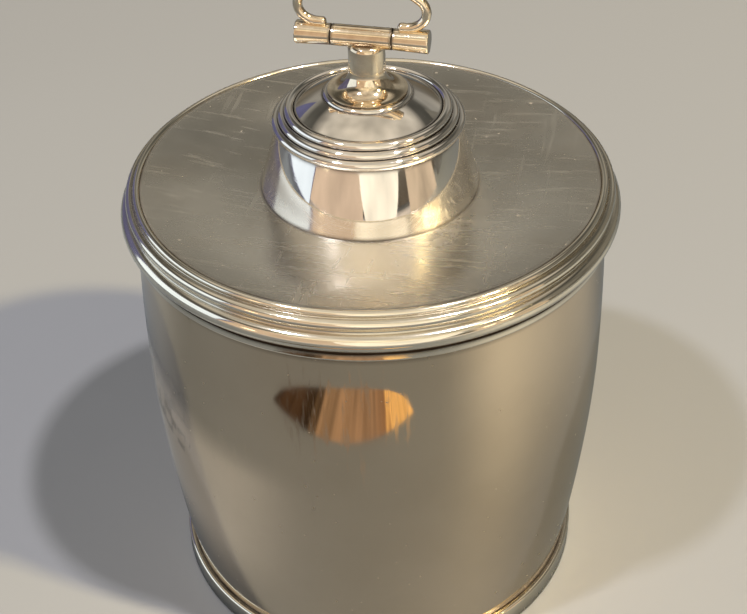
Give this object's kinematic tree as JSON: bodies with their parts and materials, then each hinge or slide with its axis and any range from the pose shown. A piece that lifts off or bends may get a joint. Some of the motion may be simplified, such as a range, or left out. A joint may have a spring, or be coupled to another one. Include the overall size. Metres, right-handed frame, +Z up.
{
  "type": "sugar bowl",
  "caption": "Barrel-shaped silver bowl with a foot ring and a reeded lift-off lid, whose domed centre carries a T-bar finial with a swinging wire bail.",
  "frame": {"origin": "centre of the foot ring, on the surface that the bowl stands on", "axes": "+Z up through the bowl's axis, X along the finial's T-bar, Y across it"},
  "size_m": [0.1048, 0.1048, 0.1454],
  "materials": {
    "bowl_silver": "polished silver, hazed by fine scratches and small specks",
    "lid_silver": "polished silver, finely scratched on the disc and bright on the reeds and dome",
    "finial_silver": "bright polished silver, slightly warm",
    "hinge_pin": "drawn silver wire, hidden in the knuckles",
    "fastener": "plain turned metal, inside the lid"
  },
  "bodies": {
    "bowl": {"body_shell": "bowl_silver", "base_plate": "bowl_silver", "foot_ring": "bowl_silver", "mouth_band": "bowl_silver"},
    "lid": {"lid_disc": "lid_silver", "rim_moulding": "lid_silver", "rim_bead": "lid_silver", "lid_bezel": "lid_silver", "dome": "lid_silver", "ringed_collar": "lid_silver", "dome_cap": "lid_silver", "boss_ring": "finial_silver", "stem": "finial_silver", "centre_knuckle": "finial_silver", "finial_stud": "fastener", "finial_washer": "fastener", "finial_nut": "fastener"},
    "bail": {"left_knuckle": "finial_silver", "right_knuckle": "finial_silver", "hinge_pin": "hinge_pin", "left_cap": "finial_silver", "right_cap": "finial_silver", "bail_wire": "finial_silver"}
  },
  "joints": [
    {"name": "lid_lift", "type": "slide", "parent": "bowl", "child": "lid", "axis": [0, 0, 1], "range_m": [0, 0.06]},
    {"name": "bail_hinge", "type": "hinge", "parent": "lid", "child": "bail", "pos_m": [-0.0008, 0, 0.1323], "axis": [1, 0, 0], "range_deg": [-138, 138]}
  ]
}
